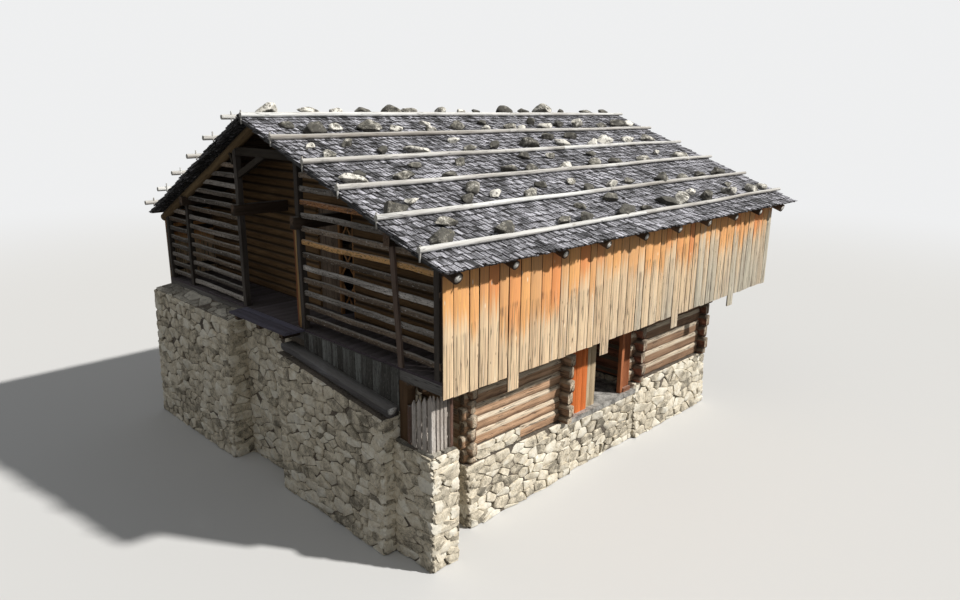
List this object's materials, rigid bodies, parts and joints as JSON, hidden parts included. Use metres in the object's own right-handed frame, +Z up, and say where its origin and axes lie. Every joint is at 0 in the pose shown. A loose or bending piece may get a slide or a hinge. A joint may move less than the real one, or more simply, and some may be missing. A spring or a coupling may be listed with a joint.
{
  "type": "alpine hay barn",
  "caption": "Hay barn with a slatted, board-clad timber loft over a stable storey of notched logs and rubble, under a low shingle roof weighted with poles.",
  "frame": {"origin": "under the middle of the barn's overall box, at the lowest ground", "axes": "+Z up; Y along the ridge, with the entrance gable at -Y; +X towards the board-clad long side"},
  "size_m": [11.92, 14.25, 8.3846],
  "materials": {
    "rubble": "rough pale rubble stone, laid dry",
    "flagstone": "worn grey flagstone",
    "hewn_log": "weathered hewn log, rough",
    "red_brown_wood": "bare red-brown board, rough",
    "grey_wood": "silver-grey weathered wood, rough",
    "brown_wood": "dark brown weathered wood, rough",
    "sunburnt_boards": "sunburnt softwood board, rough",
    "shingles": "silver-grey split shingles",
    "peeled_poles": "pale peeled pole"
  },
  "bodies": {
    "root": {"rubble_wall_west": "rubble", "rubble_wall_south": "rubble", "rubble_apron": "rubble", "rubble_wall_north": "rubble", "rubble_base_near_room": "rubble", "rubble_base_far_room": "rubble", "rubble_corner_pier": "rubble", "passage_base": "rubble", "passage_floor": "flagstone", "near_room_wall_east": "hewn_log", "near_room_wall_west": "hewn_log", "near_room_wall_south": "hewn_log", "near_room_wall_north": "hewn_log", "far_room_wall_east": "hewn_log", "far_room_wall_west": "hewn_log", "far_room_wall_south": "hewn_log", "far_room_wall_north": "hewn_log", "passage_boards": "red_brown_wood", "passage_posts": "red_brown_wood", "passage_sill": "red_brown_wood", "floor_beams": "grey_wood", "loft_floor": "grey_wood", "corner_prop": "brown_wood", "bridge_planks": "grey_wood", "bridge_bearers": "grey_wood", "front_posts": "brown_wood", "front_rails_west": "grey_wood", "front_rails_east": "grey_wood", "leaning_post": "grey_wood", "door_jambs": "red_brown_wood", "door_braces": "brown_wood", "skirt_boards": "grey_wood", "skirt_log": "grey_wood", "picket_screen": "grey_wood", "inner_log_wall": "brown_wood", "inner_board_panel": "brown_wood", "inner_lattice": "brown_wood", "back_posts": "brown_wood", "back_rails": "grey_wood", "side_posts": "brown_wood", "side_girts": "brown_wood", "cladding_east": "sunburnt_boards", "cladding_west": "sunburnt_boards", "eave_plates": "brown_wood", "inner_plates": "brown_wood", "wing_plates": "brown_wood", "loft_posts": "brown_wood", "ridge_purlin": "brown_wood", "rafters_east": "brown_wood", "rafters_west": "brown_wood", "roof_east": "shingles", "roof_west": "shingles", "roof_poles_east": "peeled_poles", "roof_poles_west": "peeled_poles"}
  },
  "joints": []
}
